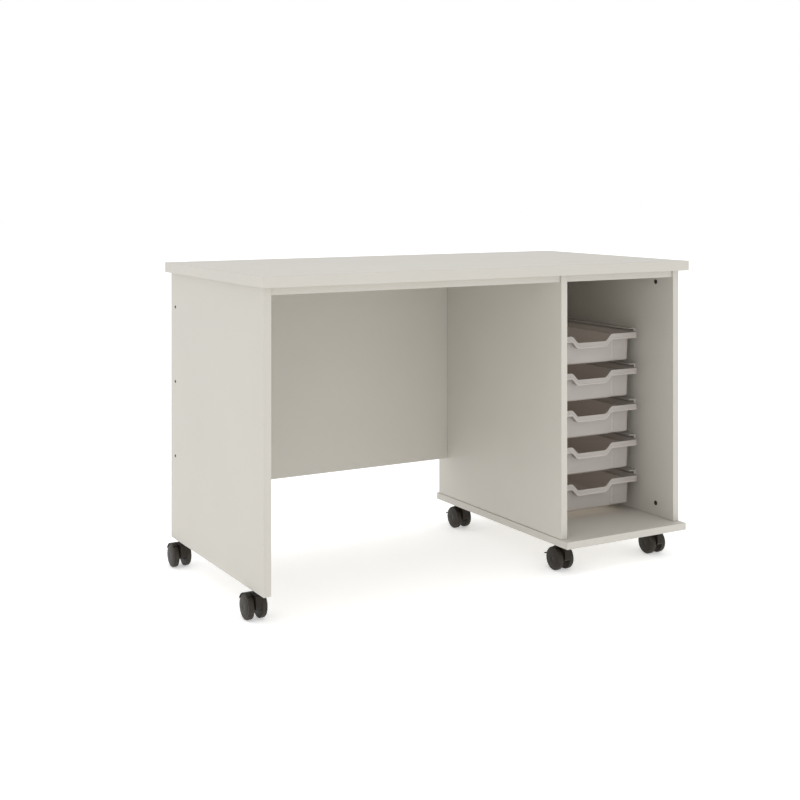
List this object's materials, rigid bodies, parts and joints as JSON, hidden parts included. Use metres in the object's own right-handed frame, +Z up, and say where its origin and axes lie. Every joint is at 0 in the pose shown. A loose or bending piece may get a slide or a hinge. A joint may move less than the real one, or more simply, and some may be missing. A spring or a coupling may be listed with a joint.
{
  "type": "sewing table",
  "caption": "Mobile sewing table: a pale laminate worktop over an open kneehole and a pedestal of sliding trays, on twin-wheel castors.",
  "frame": {"origin": "on the floor, under the middle of the worktop", "axes": "+X to the sitter's right, +Y away from the sitter, +Z up"},
  "size_m": [1.2019, 0.612, 0.762],
  "materials": {
    "worktop": "warm light grey melamine facing, satin",
    "panel": "warm light grey melamine facing, satin",
    "tray": "pale grey moulded plastic, semi-gloss",
    "runner": "pale grey extruded plastic, semi-gloss",
    "castor_plastic": "black moulded nylon, satin",
    "castor_tyre": "black moulded nylon wheel, satin",
    "castor_steel": "blacked steel, satin"
  },
  "bodies": {
    "table": {"tabletop": "worktop", "left_end_panel": "panel", "modesty_panel": "panel", "kneehole_front_rail": "panel", "pedestal_base": "panel", "pedestal_left_side": "panel", "pedestal_right_side": "panel", "pedestal_back_panel": "panel", "pedestal_top_rail_front": "panel", "pedestal_top_rail_rear": "panel", "runner_left_1": "runner", "runner_right_1": "runner", "runner_left_2": "runner", "runner_right_2": "runner", "runner_left_3": "runner", "runner_right_3": "runner", "runner_left_4": "runner", "runner_right_4": "runner", "runner_left_5": "runner", "runner_right_5": "runner", "castor_front_left_mount": "castor_steel", "castor_rear_left_mount": "castor_steel", "castor_front_middle_mount": "castor_steel", "castor_rear_middle_mount": "castor_steel", "castor_front_right_mount": "castor_steel", "castor_rear_right_mount": "castor_steel"},
    "tray_1": {"tray_1": "tray"},
    "tray_2": {"tray_2": "tray"},
    "tray_3": {"tray_3": "tray"},
    "tray_4": {"tray_4": "tray"},
    "tray_5": {"tray_5": "tray"},
    "castor_front_left": {"castor_front_left_hood": "castor_plastic", "castor_front_left_axle": "castor_steel"},
    "castor_front_left_wheel_left": {"castor_front_left_wheel_left": "castor_tyre"},
    "castor_front_left_wheel_right": {"castor_front_left_wheel_right": "castor_tyre"},
    "castor_rear_left": {"castor_rear_left_hood": "castor_plastic", "castor_rear_left_axle": "castor_steel"},
    "castor_rear_left_wheel_left": {"castor_rear_left_wheel_left": "castor_tyre"},
    "castor_rear_left_wheel_right": {"castor_rear_left_wheel_right": "castor_tyre"},
    "castor_front_middle": {"castor_front_middle_hood": "castor_plastic", "castor_front_middle_axle": "castor_steel"},
    "castor_front_middle_wheel_left": {"castor_front_middle_wheel_left": "castor_tyre"},
    "castor_front_middle_wheel_right": {"castor_front_middle_wheel_right": "castor_tyre"},
    "castor_front_middle_brake_lever": {"castor_front_middle_brake_lever": "castor_plastic"},
    "castor_rear_middle": {"castor_rear_middle_hood": "castor_plastic", "castor_rear_middle_axle": "castor_steel"},
    "castor_rear_middle_wheel_left": {"castor_rear_middle_wheel_left": "castor_tyre"},
    "castor_rear_middle_wheel_right": {"castor_rear_middle_wheel_right": "castor_tyre"},
    "castor_rear_middle_brake_lever": {"castor_rear_middle_brake_lever": "castor_plastic"},
    "castor_front_right": {"castor_front_right_hood": "castor_plastic", "castor_front_right_axle": "castor_steel"},
    "castor_front_right_wheel_left": {"castor_front_right_wheel_left": "castor_tyre"},
    "castor_front_right_wheel_right": {"castor_front_right_wheel_right": "castor_tyre"},
    "castor_front_right_brake_lever": {"castor_front_right_brake_lever": "castor_plastic"},
    "castor_rear_right": {"castor_rear_right_hood": "castor_plastic", "castor_rear_right_axle": "castor_steel"},
    "castor_rear_right_wheel_left": {"castor_rear_right_wheel_left": "castor_tyre"},
    "castor_rear_right_wheel_right": {"castor_rear_right_wheel_right": "castor_tyre"},
    "castor_rear_right_brake_lever": {"castor_rear_right_brake_lever": "castor_plastic"}
  },
  "joints": [
    {"name": "tray_1_slide", "type": "slide", "parent": "table", "child": "tray_1", "axis": [0, -1, 0], "range_m": [0, 0.3]},
    {"name": "tray_2_slide", "type": "slide", "parent": "table", "child": "tray_2", "axis": [0, -1, 0], "range_m": [0, 0.3]},
    {"name": "tray_3_slide", "type": "slide", "parent": "table", "child": "tray_3", "axis": [0, -1, 0], "range_m": [0, 0.3]},
    {"name": "tray_4_slide", "type": "slide", "parent": "table", "child": "tray_4", "axis": [0, -1, 0], "range_m": [0, 0.3]},
    {"name": "tray_5_slide", "type": "slide", "parent": "table", "child": "tray_5", "axis": [0, -1, 0], "range_m": [0, 0.3]},
    {"name": "castor_front_left_swivel", "type": "hinge", "parent": "table", "child": "castor_front_left", "pos_m": [-0.5785, -0.225, 0.06], "axis": [0, 0, 1], "continuous": true},
    {"name": "castor_front_left_spin_left", "type": "hinge", "parent": "castor_front_left", "child": "castor_front_left_wheel_left", "pos_m": [-0.5785, -0.2045, 0.029], "axis": [1, 0, 0], "continuous": true},
    {"name": "castor_front_left_spin_right", "type": "hinge", "parent": "castor_front_left", "child": "castor_front_left_wheel_right", "pos_m": [-0.5785, -0.2045, 0.029], "axis": [1, 0, 0], "continuous": true},
    {"name": "castor_rear_left_swivel", "type": "hinge", "parent": "table", "child": "castor_rear_left", "pos_m": [-0.5785, 0.2395, 0.06], "axis": [0, 0, 1], "continuous": true},
    {"name": "castor_rear_left_spin_left", "type": "hinge", "parent": "castor_rear_left", "child": "castor_rear_left_wheel_left", "pos_m": [-0.5785, 0.26, 0.029], "axis": [1, 0, 0], "continuous": true},
    {"name": "castor_rear_left_spin_right", "type": "hinge", "parent": "castor_rear_left", "child": "castor_rear_left_wheel_right", "pos_m": [-0.5785, 0.26, 0.029], "axis": [1, 0, 0], "continuous": true},
    {"name": "castor_front_middle_swivel", "type": "hinge", "parent": "table", "child": "castor_front_middle", "pos_m": [0.235, -0.26, 0.06], "axis": [0, 0, 1], "continuous": true},
    {"name": "castor_front_middle_spin_left", "type": "hinge", "parent": "castor_front_middle", "child": "castor_front_middle_wheel_left", "pos_m": [0.235, -0.2395, 0.029], "axis": [1, 0, 0], "continuous": true},
    {"name": "castor_front_middle_spin_right", "type": "hinge", "parent": "castor_front_middle", "child": "castor_front_middle_wheel_right", "pos_m": [0.235, -0.2395, 0.029], "axis": [1, 0, 0], "continuous": true},
    {"name": "castor_front_middle_brake", "type": "hinge", "parent": "castor_front_middle", "child": "castor_front_middle_brake_lever", "pos_m": [0.235, -0.2075, 0.0346], "axis": [-1, 0, 0], "range_deg": [0, 15]},
    {"name": "castor_rear_middle_swivel", "type": "hinge", "parent": "table", "child": "castor_rear_middle", "pos_m": [0.235, 0.2075, 0.06], "axis": [0, 0, 1], "continuous": true},
    {"name": "castor_rear_middle_spin_left", "type": "hinge", "parent": "castor_rear_middle", "child": "castor_rear_middle_wheel_left", "pos_m": [0.235, 0.228, 0.029], "axis": [1, 0, 0], "continuous": true},
    {"name": "castor_rear_middle_spin_right", "type": "hinge", "parent": "castor_rear_middle", "child": "castor_rear_middle_wheel_right", "pos_m": [0.235, 0.228, 0.029], "axis": [1, 0, 0], "continuous": true},
    {"name": "castor_rear_middle_brake", "type": "hinge", "parent": "castor_rear_middle", "child": "castor_rear_middle_brake_lever", "pos_m": [0.235, 0.26, 0.0346], "axis": [-1, 0, 0], "range_deg": [0, 15]},
    {"name": "castor_front_right_swivel", "type": "hinge", "parent": "table", "child": "castor_front_right", "pos_m": [0.532, -0.26, 0.06], "axis": [0, 0, 1], "continuous": true},
    {"name": "castor_front_right_spin_left", "type": "hinge", "parent": "castor_front_right", "child": "castor_front_right_wheel_left", "pos_m": [0.532, -0.2395, 0.029], "axis": [1, 0, 0], "continuous": true},
    {"name": "castor_front_right_spin_right", "type": "hinge", "parent": "castor_front_right", "child": "castor_front_right_wheel_right", "pos_m": [0.532, -0.2395, 0.029], "axis": [1, 0, 0], "continuous": true},
    {"name": "castor_front_right_brake", "type": "hinge", "parent": "castor_front_right", "child": "castor_front_right_brake_lever", "pos_m": [0.532, -0.2075, 0.0346], "axis": [-1, 0, 0], "range_deg": [0, 15]},
    {"name": "castor_rear_right_swivel", "type": "hinge", "parent": "table", "child": "castor_rear_right", "pos_m": [0.532, 0.2075, 0.06], "axis": [0, 0, 1], "continuous": true},
    {"name": "castor_rear_right_spin_left", "type": "hinge", "parent": "castor_rear_right", "child": "castor_rear_right_wheel_left", "pos_m": [0.532, 0.228, 0.029], "axis": [1, 0, 0], "continuous": true},
    {"name": "castor_rear_right_spin_right", "type": "hinge", "parent": "castor_rear_right", "child": "castor_rear_right_wheel_right", "pos_m": [0.532, 0.228, 0.029], "axis": [1, 0, 0], "continuous": true},
    {"name": "castor_rear_right_brake", "type": "hinge", "parent": "castor_rear_right", "child": "castor_rear_right_brake_lever", "pos_m": [0.532, 0.26, 0.0346], "axis": [-1, 0, 0], "range_deg": [0, 15]}
  ]
}
